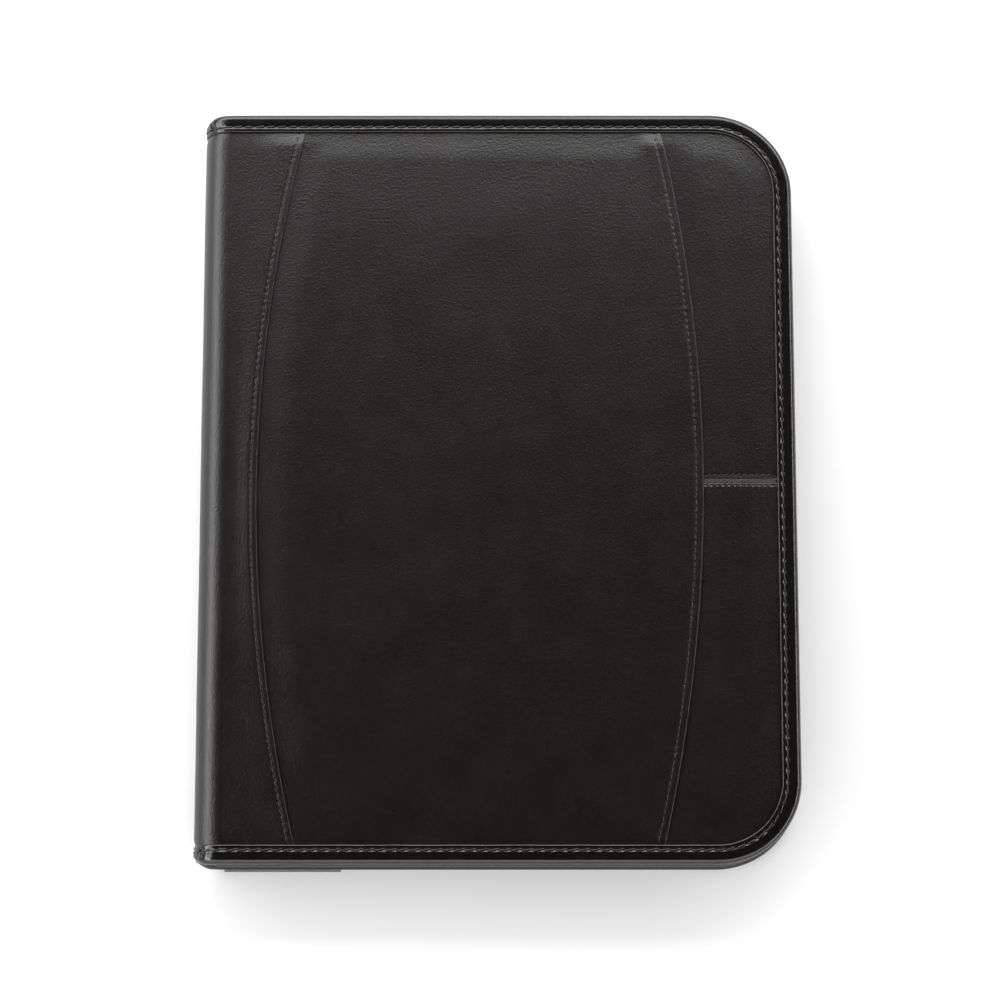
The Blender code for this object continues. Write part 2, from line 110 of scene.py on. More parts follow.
FOLD_FLEX = 6 * MM
LEATHER_DEPTH = 1.1 * MM
LEATHER_THICK = 0.9 * MM
SPINE_BELLY = 0.95 * MM
BINDING_WIDTH = 8.0 * MM
BINDING_ROLL = 2.6 * MM
BINDING_LIP = 7.1 * MM
BINDING_WAVE = 0.05 * MM
GROOVE_AT = 5.7 * MM
GROOVE_DEPTH = 0.4 * MM
OUTLINE_STEP = 1.1 * MM
BINDING_PITCH = 4.6 * MM
SEAM_PITCH = 2.9 * MM
CROSS_PITCH = 2.5 * MM
CROSS_ROWS = (2.4 * MM, -1.9 * MM)
LEFT_ROW_INSET = 2.7 * MM
RIGHT_ROW_INSET = 3.0 * MM


def smooth(value, start, end):
    t = np.clip((np.asarray(value, float) - start) / (end - start), 0, 1)
    return t * t * (3 - 2 * t)


def bell(value, centre, width):
    return np.exp(-(((np.asarray(value, float) - centre) / width) ** 2))


def ripple(x, y, length, seed=0.0):
    """A soft, repeatable unevenness from -1 to 1, with bumps about this length."""
    k = TAU / length
    a = np.sin(k * (0.83 * x + 0.41 * y) + 1.7 + seed) + np.sin(k * (-0.37 * x + 0.9 * y) + 0.4 + 2 * seed)
    b = np.sin(k * 1.7 * (0.5 * x - 0.78 * y) + 2.9 + seed) + np.sin(k * 1.9 * (0.94 * x + 0.2 * y) + 5.1)
    return a / 3 + b / 6


# ---------------------------------------------------------------- materials


def new_material(name):
    material = bpy.data.materials.new(name)
    material.use_nodes = True
    nodes = material.node_tree.nodes
    return material, nodes, material.node_tree.links, nodes["Principled BSDF"]


def math_node(nodes, links, operation, first, second=0.0):
    node = nodes.new("ShaderNodeMath")
    node.operation = operation
    for socket, value in zip(node.inputs, (first, second)):
        if isinstance(value, bpy.types.NodeSocket):
            links.new(value, socket)
        else:
            socket.default_value = value
    return node.outputs[0]


def bump_chain(nodes, links, shader, heights):
    """Feeds (height output, strength, distance) bumps one into the next and into the shader."""
    normal = None
    for height, strength, distance in heights:
        bump = nodes.new("ShaderNodeBump")
        bump.inputs["Strength"].default_value = strength
        bump.inputs["Distance"].default_value = distance
        links.new(height, bump.inputs["Height"])
        if normal is not None:
            links.new(normal, bump.inputs["Normal"])
        normal = bump.outputs["Normal"]
    links.new(normal, shader.inputs["Normal"])


def texture(nodes, links, kind, scale, coords, **extra):
    node = nodes.new(kind)
    node.inputs["Scale"].default_value = scale
    for key, value in extra.items():
        node.inputs[key].default_value = value
    links.new(coords, node.inputs["Vector"])
    return node


def colour_between(nodes, links, factor, low, high):
    mix = nodes.new("ShaderNodeMix")
    mix.data_type = "RGBA"
    links.new(factor, mix.inputs["Factor"])
    mix.inputs["A"].default_value = (*low, 1)
    mix.inputs["B"].default_value = (*high, 1)
    return mix.outputs["Result"]


def remap(nodes, links, value, low, high):
    node = nodes.new("ShaderNodeMapRange")
    links.new(value, node.inputs["Value"])
    node.inputs["To Min"].default_value = low
    node.inputs["To Max"].default_value = high
    return node.outputs["Result"]


GRAIN_CONTRAST = 2.4
GRAIN_TONE = 0.25
PATCHES_PER_METRE = 55
PATCH_GLOSS = 0.06
PORE_GLOSS = 0.1


def leather(name, dark, light, roughness, grain_size, grain_depth):
    """Dyed leather: pebbled grain, fine pores, and patches that are a little more worn and glossy."""
    material, nodes, links, shader = new_material(name)
    coords = nodes.new("ShaderNodeTexCoord").outputs["Object"]
    pebbles = texture(nodes, links, "ShaderNodeTexVoronoi", 1 / grain_size, coords)
    pebbles.feature = "SMOOTH_F1"
    pores = texture(nodes, links, "ShaderNodeTexNoise", 1.1 / grain_size, coords, Detail=5, Roughness=0.7)
    patches = texture(nodes, links, "ShaderNodeTexNoise", PATCHES_PER_METRE, coords, Detail=8, Roughness=0.72)
    grain = math_node(nodes, links, "MULTIPLY_ADD", pores.outputs["Fac"], GRAIN_CONTRAST)
    grain.node.inputs[2].default_value = GRAIN_TONE - GRAIN_CONTRAST / 2
    patchy = math_node(nodes, links, "MULTIPLY", patches.outputs["Fac"], 0.5)
    tone = math_node(nodes, links, "ADD", grain, patchy)
    links.new(colour_between(nodes, links, tone, dark, light), shader.inputs["Base Color"])
    worn = remap(nodes, links, patches.outputs["Fac"], roughness - PATCH_GLOSS, roughness + PATCH_GLOSS)
    speck = remap(nodes, links, pores.outputs["Fac"], -PORE_GLOSS, PORE_GLOSS)
    links.new(math_node(nodes, links, "ADD", worn, speck), shader.inputs["Roughness"])
    shader.inputs["Specular IOR Level"].default_value = 0.5
    heights = [(pebbles.outputs["Distance"], 0.6, grain_depth), (pores.outputs["Fac"], 0.9, grain_depth)]
    bump_chain(nodes, links, shader, heights)
    return material


def woven(name, dark, light, pitch, depth, roughness=0.85):
    """A twill: fine diagonal ribs crossed by the weft."""
    material, nodes, links, shader = new_material(name)
    coords = nodes.new("ShaderNodeTexCoord").outputs["Object"]
    ribs = texture(nodes, links, "ShaderNodeTexWave", 0.3 / pitch, coords, Distortion=0.6, Detail=1.0)
    ribs.bands_direction = "DIAGONAL"
    weft = texture(nodes, links, "ShaderNodeTexWave", 0.5 / pitch, coords, Distortion=0.4, Detail=1.0)
    weft.bands_direction = "Y"
    fuzz = texture(nodes, links, "ShaderNodeTexNoise", 900, coords, Detail=4)
    height = math_node(nodes, links, "MULTIPLY", ribs.outputs["Fac"], weft.outputs["Fac"])
    links.new(colour_between(nodes, links, height, dark, light), shader.inputs["Base Color"])
    shader.inputs["Roughness"].default_value = roughness
    shader.inputs["Sheen Weight"].default_value = 0.15
    bump_chain(nodes, links, shader, [(height, 0.7, depth), (fuzz.outputs["Fac"], 0.3, depth)])
    return material


def thread(name, colour):
    """Twisted thread: fine slanting plies."""
    material, nodes, links, shader = new_material(name)
    coords = nodes.new("ShaderNodeTexCoord").outputs["Object"]
    plies = texture(nodes, links, "ShaderNodeTexWave", 1100, coords, Distortion=1.5)
    plies.bands_direction = "DIAGONAL"
    shader.inputs["Base Color"].default_value = (*colour, 1)
    shader.inputs["Roughness"].default_value = 0.38
    bump_chain(nodes, links, shader, [(plies.outputs["Fac"], 0.5, 0.06 * MM)])
    return material


def board(name, dark, light):
    """Greyboard: felted fibres and flecks."""
    material, nodes, links, shader = new_material(name)
    coords = nodes.new("ShaderNodeTexCoord").outputs["Object"]
    fibres = texture(nodes, links, "ShaderNodeTexNoise", 700, coords, Detail=8, Roughness=0.7)
    links.new(colour_between(nodes, links, fibres.outputs["Fac"], dark, light), shader.inputs["Base Color"])
    shader.inputs["Roughness"].default_value = 0.92
    bump_chain(nodes, links, shader, [(fibres.outputs["Fac"], 0.4, 0.05 * MM)])
    return material


HEAD_MARGIN = 34 * MM
LINE_PITCH = 7.1 * MM
LINE_WIDTH = 0.35 * MM
MARGIN_LINE_HALF_WIDTH = 0.2 * MM


def ruled_paper(name, top, margin_x):
    """Writing paper with faint ruled lines from below its head margin, and a margin line."""
    material, nodes, links, shader = new_material(name)
    coords = nodes.new("ShaderNodeTexCoord").outputs["Object"]
    place = nodes.new("ShaderNodeSeparateXYZ")
    links.new(coords, place.inputs[0])
    fibres = texture(nodes, links, "ShaderNodeTexNoise", 900, coords, Detail=6)
    base = colour_between(nodes, links, fibres.outputs["Fac"], (0.80, 0.79, 0.74), (0.87, 0.86, 0.81))
    down = math_node(nodes, links, "SUBTRACT", top - HEAD_MARGIN, place.outputs["Y"])
    phase = math_node(nodes, links, "MODULO", down, LINE_PITCH)
    on_line = math_node(nodes, links, "LESS_THAN", phase, LINE_WIDTH)
    below_head = math_node(nodes, links, "GREATER_THAN", down, 0.0)
    ruled = math_node(nodes, links, "MULTIPLY", on_line, below_head)
    away = math_node(nodes, links, "SUBTRACT", place.outputs["X"], margin_x)
    distance = math_node(nodes, links, "ABSOLUTE", away)
    margin = math_node(nodes, links, "LESS_THAN", distance, MARGIN_LINE_HALF_WIDTH)
    for amount, colour in ((ruled, (0.38, 0.52, 0.70)), (margin, (0.72, 0.34, 0.36))):
        mix = nodes.new("ShaderNodeMix")
        mix.data_type = "RGBA"
        links.new(amount, mix.inputs["Factor"])
        links.new(base, mix.inputs["A"])
        mix.inputs["B"].default_value = (*colour, 1)
        base = mix.outputs["Result"]
    links.new(base, shader.inputs["Base Color"])
    shader.inputs["Roughness"].default_value = 0.8
    bump_chain(nodes, links, shader, [(fibres.outputs["Fac"], 0.2, 0.03 * MM)])
    return material


PANEL_LEATHER = leather(
    "panel_leather", (0.0018, 0.0012, 0.0010), (0.0058, 0.0042, 0.0036), 0.32, 0.8 * MM, 0.13 * MM
)
BINDING_LEATHER = leather(
    "binding_leather", (0.003, 0.0024, 0.0022), (0.005, 0.0042, 0.0038), 0.2, 1 * MM, 0.05 * MM
)
POCKET_LEATHER = leather(
    "pocket_leather", (0.007, 0.006, 0.006), (0.012, 0.011, 0.010), 0.42, 0.8 * MM, 0.06 * MM
)
LINING_CLOTH = woven("lining_cloth", (0.010, 0.010, 0.011), (0.045, 0.045, 0.048), 0.45 * MM, 0.12 * MM)
ELASTIC = woven("elastic_band", (0.008, 0.008, 0.009), (0.05, 0.05, 0.052), 0.7 * MM, 0.2 * MM)
BLACK_THREAD = thread("black_thread", (0.012, 0.011, 0.011))
GREY_BOARD = board("grey_board", (0.22, 0.21, 0.20), (0.40, 0.385, 0.36))
FOAM = board("foam", (0.16, 0.16, 0.17), (0.26, 0.26, 0.27))
PAD_TAPE = woven("pad_tape_cloth", (0.012, 0.012, 0.013), (0.05, 0.05, 0.052), 0.5 * MM, 0.08 * MM, 0.7)

# ---------------------------------------------------------------- meshes


SHARP_ANGLE = math.radians(62)


def mesh_object(name, points, faces, material):
    mesh = bpy.data.meshes.new(name)
    mesh.from_pydata([tuple(p) for p in points], [], faces)
    mesh.validate()
    mesh.shade_smooth()
    mesh.set_sharp_from_angle(angle=SHARP_ANGLE)
    mesh.materials.append(material)
    obj = bpy.data.objects.new(name, mesh)
    bpy.context.scene.collection.objects.link(obj)
    return obj


def grid_faces(rows, columns, closed=False, flip=False):
    """Quads of a grid whose points run along each row, and round it if it is closed."""
    faces = []
    across = columns if closed else columns - 1
    for row in range(rows - 1):
        for column in range(across):
            after = (column + 1) % columns
            quad = (
                row * columns + column,
                row * columns + after,
                (row + 1) * columns + after,
                (row + 1) * columns + column,
            )
            faces.append(quad[::-1] if flip else quad)
    return faces


def tube_object(name, rings, material, flip=False):
    """A closed tube through rings of points, capped at both ends."""
    rings = np.asarray(rings)
    rows, columns = rings.shape[:2]
    faces = grid_faces(rows, columns, closed=True, flip=flip)
    first = tuple(range(columns))
    last = tuple(range((rows - 1) * columns, rows * columns))
    faces += [first if flip else first[::-1], last[::-1] if flip else last]
    return mesh_object(name, rings.reshape(-1, 3), faces, material)


def slab_object(name, shown, hidden, material, flip=False):
    """A closed layer between its shown face and its hidden one, which are grids of the same size."""
    rows, columns = shown.shape[:2]
    count = rows * columns
    faces = grid_faces(rows, columns, flip=flip)
    faces += [tuple(count + i for i in reversed(face)) for face in list(faces)]
    last_row, last_column = (rows - 1) * columns, columns - 1
    loop = list(range(columns)) + [row * columns + last_column for row in range(1, rows)]
    loop += [last_row + column for column in range(columns - 2, -1, -1)]
    loop += [row * columns for row in range(rows - 2, 0, -1)]
    for index, near in enumerate(loop):
        far = loop[(index + 1) % len(loop)]
        side = (far, near, count + near, count + far)
        faces.append(side[::-1] if flip else side)
    points = np.concatenate([shown.reshape(-1, 3), hidden.reshape(-1, 3)])
    return mesh_object(name, points, faces, material)


def bend_at_fold(obj, cover):
    """Leather, lining and bound edge that run on from the spine into a cover: the mesh takes its placing as it
    stands, the same for either cover.
    """
    if cover == "front_cover":
        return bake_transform(obj)
    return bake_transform(obj)


def flatten_with_spine(obj):
    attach(obj, "spine")
    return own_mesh(obj)


# ---------------------------------------------------------------- bound edges


def face_depth(distance, along):
    """How far a bound edge's face is sunk, at a distance in from the outline and along the strip."""
    beat = np.cos(TAU * along / BINDING_PITCH)
    groove = GROOVE_DEPTH * (1 + 0.45 * beat) * bell(distance, GROOVE_AT, 0.62 * MM)
    beside_groove = bell(distance, 4.3 * MM, 0.8 * MM) + bell(distance, 7.2 * MM, 0.6 * MM)
    pucker = 0.05 * MM * beat * beside_groove
    lip = np.clip((distance - BINDING_LIP) / (0.92 * MM), 0, 1)
    lip_drop = 0.85 * MM * (1 - np.sqrt(1 - lip**2 * 0.999))
    wave = BINDING_WAVE * ripple(along, distance * 3, 23 * MM)
    return np.maximum(groove + pucker + lip_drop + wave * smooth(distance, 2 * MM, 4 * MM), 0.0)


def binding_section(along):
    """Points round the strip: (distance in from the outline, depth from the outer face)."""
    roll = BINDING_ROLL
    half = BINDING_HEIGHT / 2
    lip = np.linspace(BINDING_WIDTH, 6.9 * MM, 7)
    groove = np.linspace(6.7 * MM, 4.6 * MM, 10)
    across = np.concatenate([lip, groove, (3.9 * MM, 3.2 * MM)])
    lip_in = 0.08 * MM * ripple(along, 0.0, 9 * MM)
    near = [(u - lip_in * smooth(u, 6.5 * MM, BINDING_WIDTH), float(face_depth(u, along))) for u in across]
    turn = [math.radians(a) for a in np.linspace(90, 270, 15)]
    side = [(roll + roll * math.cos(a), half - half * math.sin(a)) for a in turn]
    far = [(u, BINDING_HEIGHT - depth) for u, depth in reversed(near)]
    hidden = [(7.6 * MM, BINDING_HEIGHT - 1.0 * MM), (7.6 * MM, 1.0 * MM)]
    return near + side + far + hidden


def outline_path():
    """Points round a cover's free edge with their inward normals and distance along: (x, y, nx, ny, s)."""
    run = CORNER_X - FOLD_X
    arc = CORNER_RADIUS * math.pi / 2
    lengths = [run, arc, 2 * STRAIGHT, arc, run]
    total = sum(lengths)
    path = []
    for s in np.linspace(0, total, int(total / OUTLINE_STEP) + 1):
        if s <= run:
            path.append((FOLD_X + s, CENTRE_Y + HALF_HEIGHT, 0.0, -1.0, s))
        elif s <= run + arc:
            a = math.pi / 2 - (s - run) / CORNER_RADIUS
            x, y = math.cos(a), math.sin(a)
            path.append((CORNER_X + CORNER_RADIUS * x, CENTRE_Y + STRAIGHT + CORNER_RADIUS * y, -x, -y, s))
        elif s <= run + arc + 2 * STRAIGHT:
            path.append((EDGE_X, CENTRE_Y + STRAIGHT - (s - run - arc), -1.0, 0.0, s))
        elif s <= total - run:
            a = -(s - run - arc - 2 * STRAIGHT) / CORNER_RADIUS
            x, y = math.cos(a), math.sin(a)
            path.append((CORNER_X + CORNER_RADIUS * x, CENTRE_Y - STRAIGHT + CORNER_RADIUS * y, -x, -y, s))
        else:
            path.append((FOLD_X + total - s, CENTRE_Y - HALF_HEIGHT, 0.0, 1.0, s))
    return path


def cover_z(depth, cover):
    return THICKNESS - depth if cover == "front_cover" else depth


def make_cover_binding(name, cover):
    rings = []
    for x, y, nx, ny, s in outline_path():
        ring = [(x + nx * u, y + ny * u, cover_z(depth, cover)) for u, depth in binding_section(s)]
        rings.append(ring)
    obj = tube_object(name, rings, BINDING_LEATHER, flip=cover != "front_cover")
    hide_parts(name.replace("_skin", ""))
    return bend_at_fold(obj, cover)


END_ROUND = 5.5 * MM
WRINKLE_DEPTH = 0.17 * MM
SPINE_BINDING_STEPS = 72
SPINE_STITCH_STEPS = 40


def spine_end_inset(angle, distance):
    """How far the spine's bound end is drawn in, for round corners where it turns down."""
    out = math.sin(angle) * SPINE_RADIUS
    past = max(out - (SPINE_RADIUS - END_ROUND), 0.0) / END_ROUND
    drawn = END_ROUND * (1 - math.sqrt(max(1 - past**2, 0.0)))
    return distance + 0.62 * drawn * max(1 - distance / BINDING_WIDTH, 0.0)


def wrinkle(angle, distance, side):
    """Gathers in the strip where it is pulled round the end of the spine, most beside the front fold."""
    low = 0.25 * math.sin(angle) ** 2
    turn = math.sin(angle) ** 2 * math.exp(-(((angle - 0.75) / 0.62) ** 2)) + low
    fold = math.sin(angle * 23 + distance * 900 + side) + 0.6 * math.sin(angle * 41 - distance * 1500)
    return WRINKLE_DEPTH * turn * fold * math.exp(-(((distance - 3.6 * MM) / (2.8 * MM)) ** 2))


def make_spine_binding(name, side):
    rings = []
    for step in range(SPINE_BINDING_STEPS + 1):
        angle = math.pi * step / SPINE_BINDING_STEPS
        s = angle * SPINE_RADIUS
        ring = []
        for u, depth in binding_section(-s if side > 0 else s):
            on_face = max(1 - depth / BINDING_HEIGHT * 2, 0.0)
            radius = SPINE_RADIUS - depth + wrinkle(angle, u, side) * on_face
            x = FOLD_X - radius * math.sin(angle)
            z = SPINE_RADIUS + radius * math.cos(angle)
            ring.append((x, CENTRE_Y + side * (HALF_HEIGHT - spine_end_inset(angle, u)), z))
        rings.append(ring)
    obj = tube_object(name, rings, BINDING_LEATHER, flip=side > 0)
    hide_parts(name.replace("_skin", ""))
    return flatten_with_spine(obj)


# ---------------------------------------------------------------- stitches


def stitch_template(length, width, height):
    """One stitch: a fat thread that dives into the leather at both ends."""
    points = []
    sides = 8
    stations = (-0.5, -0.46, -0.36, -0.2, 0.0, 0.2, 0.36, 0.46, 0.5)
    for t in stations:
        swell = math.sqrt(max(1 - (abs(t) / 0.52) ** 3, 0.02))
        lift = height * (1 - (2 * t) ** 4) - 0.35 * height
        for k in range(sides):
            a = TAU * k / sides
            across, up = math.cos(a) * width / 2 * swell, math.sin(a) * width / 2 * swell
            points.append((t * length, across, lift + up))
    faces = grid_faces(len(stations), sides, closed=True)
    faces.append(tuple(range(sides))[::-1])
    faces.append(tuple(range(len(points) - sides, len(points))))
    return np.array(points), faces


def stitch_row(name, route, pitch, length, width, slant=0.0, height=0.3 * MM):
    """Stitches along a route: a list of (point, way along, way out of the surface)."""
    places = np.array([p for p, _, _ in route], float)
    steps = np.linalg.norm(np.diff(places, axis=0), axis=1)
    at = np.concatenate([[0.0], np.cumsum(steps)])
    along = np.array([a for _, a, _ in route], float)
    out = np.array([n for _, _, n in route], float)
    template, faces = stitch_template(length, width, height)
    points, quads = [], []
    count = int(at[-1] / pitch)
    for index in range(count):
        s = (index + 0.5) * pitch
        centre = np.array([np.interp(s, at, places[:, k]) for k in range(3)])
        way = np.array([np.interp(s, at, along[:, k]) for k in range(3)])
        up = np.array([np.interp(s, at, out[:, k]) for k in range(3)])
        way /= np.linalg.norm(way)
        across = np.cross(up, way)
        across /= np.linalg.norm(across)
        up = np.cross(way, across)
        angle = slant + 0.07 * math.sin(index * 2.3 + s * 311)
        turned = way * math.cos(angle) + across * math.sin(angle)
        sideways = across * math.cos(angle) - way * math.sin(angle)
        basis = np.array([turned, sideways, up])
        base = len(points) * len(template)
        points.append(centre + template @ basis)
        quads += [tuple(base + i for i in face) for face in faces]
    return mesh_object(name, np.concatenate(points), quads, BLACK_THREAD)


def make_cover_stitches(name, cover, inner):
    """The row in a cover binding's groove, on its outer or inner face."""
    depth = BINDING_HEIGHT - 0.2 * MM if inner else 0.2 * MM
    up = 1.0 if (cover == "front_cover") != inner else -1.0
    route = []
    for x, y, nx, ny, _ in outline_path():
        place = (x + nx * GROOVE_AT, y + ny * GROOVE_AT, cover_z(depth, cover))
        route.append((place, (-ny, nx, 0.0), (0.0, 0.0, up)))
    row = stitch_row(name, route, BINDING_PITCH, 3.9 * MM, 0.62 * MM, slant=0.10, height=0.28 * MM)
    return bend_at_fold(row, cover)


def make_spine_stitches(name, side):
    route = []
    radius = SPINE_RADIUS - 0.25 * MM
    y = CENTRE_Y + side * (HALF_HEIGHT - GROOVE_AT)
    for step in range(SPINE_STITCH_STEPS + 1):
        angle = math.pi * step / SPINE_STITCH_STEPS
        out = (-math.sin(angle), 0.0, math.cos(angle))
        place = (FOLD_X + radius * out[0], y, SPINE_RADIUS + radius * out[2])
        route.append((place, (-math.cos(angle), 0.0, -math.sin(angle)), out))
    row = stitch_row(name, route, BINDING_PITCH, 3.7 * MM, 0.6 * MM, height=0.26 * MM)
    return flatten_with_spine(row)


# ---------------------------------------------------------------- front leather

MARGIN_Z = THICKNESS - LEATHER_DEPTH
PADDED_Z = THICKNESS - 0.4 * MM
LAP_Z = THICKNESS
BED_Z = LAP_Z - 0.8 * MM
LOFT = 0.65 * MM


def edge_distance(x, y):
    """Distance in from a cover's outline."""
    dy = np.abs(y - CENTRE_Y)
    corner = CORNER_RADIUS - np.hypot(x - CORNER_X, dy - STRAIGHT)
    plain = np.minimum(EDGE_X - x, HALF_HEIGHT - dy)
    return np.where((x > CORNER_X) & (dy > STRAIGHT), corner, plain)


def fore_edge(y, inset):
    past = np.clip(np.abs(y - CENTRE_Y) - STRAIGHT, 0, CORNER_RADIUS - inset)
    return CORNER_X + np.sqrt((CORNER_RADIUS - inset) ** 2 - past**2)


def seam_stitch_dip(gap, along, pitch, centre):
    """The dip under a row of stitches, deepest at its holes."""
    return 0.2 * MM * (1 + 0.6 * np.cos(TAU * along / pitch)) * bell(gap, centre, 0.55 * MM)


def quilt(x, y):
    """Height of the padded leather before its seams."""
    inside = smooth(edge_distance(x, y), 6.5 * MM, 21 * MM)
    loft = LOFT * smooth(edge_distance(x, y), 6 * MM, 55 * MM)
    uneven = 0.07 * MM * ripple(x, y, 46 * MM) * inside
    return MARGIN_Z + (PADDED_Z - MARGIN_Z) * inside + loft + uneven


def beside_lap(x, y, seam):
    """The padded leather where it comes out from under a neighbour's lapped edge."""
    full = quilt(x, y)
    return full - np.maximum(full - BED_Z, 0) * (1 - smooth(x, seam - 0.5 * MM, seam + 14 * MM))


def lap_rise(y):
    """How far a lap has risen to its full height, from 0 beside the top and bottom bindings to 1."""
    return smooth(HALF_HEIGHT - np.abs(y - CENTRE_Y), 6.5 * MM, 15 * MM)


def spine_side_height(x, y):
    edge = left_seam(y)
    rise = smooth(x, FOLD_X + 2 * MM, edge - 2 * MM) * lap_rise(y)
    z = MARGIN_Z + (LAP_Z - MARGIN_Z) * rise
    return z - seam_stitch_dip(edge - x, y, SEAM_PITCH, LEFT_ROW_INSET)


def centre_height(x, y):
    left, right = left_seam(y), right_seam(y)
    bed = beside_lap(x, y, left)
    lap = MARGIN_Z + (LAP_Z - MARGIN_Z) * lap_rise(y)
    share = smooth(x, right - 12 * MM, right - 6 * MM)
    z = bed * (1 - share) + np.maximum(lap, bed) * share
    return z - seam_stitch_dip(right - x, y, SEAM_PITCH, RIGHT_ROW_INSET)


def side_height(x, y):
    """The side panels, with the ridge between two grooves and two rows of dips at the seam that joins them."""
    right = right_seam(y)
    z = beside_lap(x, y, right)
    up = y - CROSS_SEAM
    beat = np.cos(TAU * x / CROSS_PITCH)
    groove = 0.6 * MM * bell(up, 1.2 * MM, 0.5 * MM) + 0.35 * MM * bell(up, -0.9 * MM, 0.35 * MM)
    ridge = 0.34 * MM * (1 + 0.35 * beat) * bell(up, 0.15 * MM, 0.42 * MM)
    near_rows = bell(up, CROSS_ROWS[0], 0.5 * MM) + bell(up, CROSS_ROWS[1], 0.45 * MM)
    rows = 0.2 * MM * (1 - 0.5 * beat) * near_rows
    inside = smooth(edge_distance(x, y), 7 * MM, 9 * MM)
    return z + (ridge - groove - rows) * inside


PANEL_STEP = 2.4 * MM
LAP_STEP = 0.3 * MM
NEAR_CROSS_SEAM = 5 * MM
UNDER_BINDING = 5.5 * MM
EDGE_ROLL = ((0.0, 0.0), (0.0, 0.28), (-0.03, 0.62), (-0.12, 1.15))
EDGE_EASE = 0.5 * MM


def panel_rows():
    """Rows close enough for the stitch dips, from one binding to the other."""
    reach = HALF_HEIGHT - UNDER_BINDING
    return CENTRE_Y + np.linspace(-reach, reach, int(2 * reach / (SEAM_PITCH / 4)) + 1)


def make_lapped_panel(name, start_at, end_at, height, fixed=6.5 * MM):
    """A panel whose right-hand edge lies over its neighbour, with a turned edge, fine over its last stretch."""
    grid = []
    rows = panel_rows()
    for y in rows:
        start, end = start_at(y), float(end_at(y))
        count = int(round((float(end_at(CENTRE_Y)) - start_at(CENTRE_Y) - fixed) / PANEL_STEP))
        wide = np.linspace(start, end - fixed, count + 1)[:-1]
        xs = np.concatenate([wide, np.linspace(end - fixed, end, int(fixed / LAP_STEP) + 1)])
        zs = height(xs, y) - 0.25 * MM * (1 - np.sqrt(1 - smooth(xs, end - EDGE_EASE, end) ** 2 * 0.999))
        row = [(x, y, z) for x, z in zip(xs, zs)]
        foot = zs[-1]
        row += [(end + out * MM, y, foot - drop * MM) for out, drop in EDGE_ROLL[1:]]
        grid.append(row)
    grid = np.array(grid)
    under = grid.copy()
    under[:, : -len(EDGE_ROLL), 2] -= LEATHER_THICK
    under[:, -len(EDGE_ROLL) :, 2] = grid[:, -1:, 2] - 0.02 * MM
    return slab_object(name, grid, under, PANEL_LEATHER)


def make_side_panel(name, side):
    """The upper (1) or lower (-1) side panel, from under the centre panel's lap to under the binding."""
    near = CROSS_SEAM + side * NEAR_CROSS_SEAM
    turn = CENTRE_Y + side * (HALF_HEIGHT - UNDER_BINDING) - side * CORNER_RADIUS
    fine = np.linspace(CROSS_SEAM, near, 30)[:-1]
    coarse = np.linspace(near, turn, max(int(abs(turn - near) / PANEL_STEP), 2) + 1)
    bend = turn + side * CORNER_RADIUS * np.sin(np.linspace(0, math.pi / 2, 34)[1:])
    ys = np.concatenate([fine, coarse, bend])[::side]
    grid = []
    for y in ys:
        start = float(right_seam(y)) - 2 * MM
        xs = np.linspace(start, float(fore_edge(y, UNDER_BINDING)), 64)
        grid.append([(x, y, z) for x, z in zip(xs, side_height(xs, y))])
    grid = np.array(grid)
    return slab_object(name, grid, grid - (0, 0, LEATHER_THICK), PANEL_LEATHER)


def seam_route(curve, inset, height, low, high):
    route = []
    for y in np.linspace(low, high, 260):
        x = float(curve(y)) - inset
        ahead = float(curve(y + MM)) - inset
        way = (ahead - x, MM, 0.0)
        route.append(((x, y, float(height(np.array(x), y)) + 0.08 * MM), way, (0.0, 0.0, 1.0)))
    return route


def make_front_leather():
    spine_side = make_lapped_panel(
        "front_spine_side_skin", lambda y: FOLD_X, left_seam, spine_side_height, fixed=5 * MM
    )
    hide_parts("front_spine_side_panel")
    bend_at_fold(spine_side, "front_cover")
    centre = make_lapped_panel(
        "front_center_skin", lambda y: float(left_seam(y)) - 1.2 * MM, right_seam, centre_height
    )
    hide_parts("front_center_panel")
    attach(centre, "front_cover")
    upper = make_side_panel("front_upper_side_skin", 1)
    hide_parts("front_upper_side_panel")
    lower = make_side_panel("front_lower_side_skin", -1)
    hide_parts("front_lower_side_panel")
    inner = HALF_HEIGHT - 8.6 * MM
    rows = []
    for label, curve, inset, height in (
        ("left", left_seam, LEFT_ROW_INSET, spine_side_height),
        ("right", right_seam, RIGHT_ROW_INSET, centre_height),
    ):
        route = seam_route(curve, inset, height, CENTRE_Y - inner, CENTRE_Y + inner)
        rows.append(
            stitch_row(
                f"{label}_seam_stitches", route, SEAM_PITCH, 2.3 * MM, 0.42 * MM, slant=0.1, height=0.16 * MM
            )
        )
    for piece in (upper, lower, *rows):
        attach(piece, "front_cover")
    for offset, label in zip(CROSS_ROWS, ("upper", "lower")):
        route = []
        y = CROSS_SEAM + offset
        for x in np.linspace(float(right_seam(y)) + 0.8 * MM, EDGE_X - 8.4 * MM, 60):
            z = float(side_height(np.array(x), y)) + 0.1 * MM
            route.append(((x, y, z), (1.0, 0.0, 0.0), (0.0, 0.0, 1.0)))
        name = f"cross_seam_{label}_stitches"
        row = stitch_row(name, route, CROSS_PITCH, 2.1 * MM, 0.42 * MM, slant=0.35, height=0.16 * MM)
        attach(row, "front_cover")


# ---------------------------------------------------------------- spine, back and lining


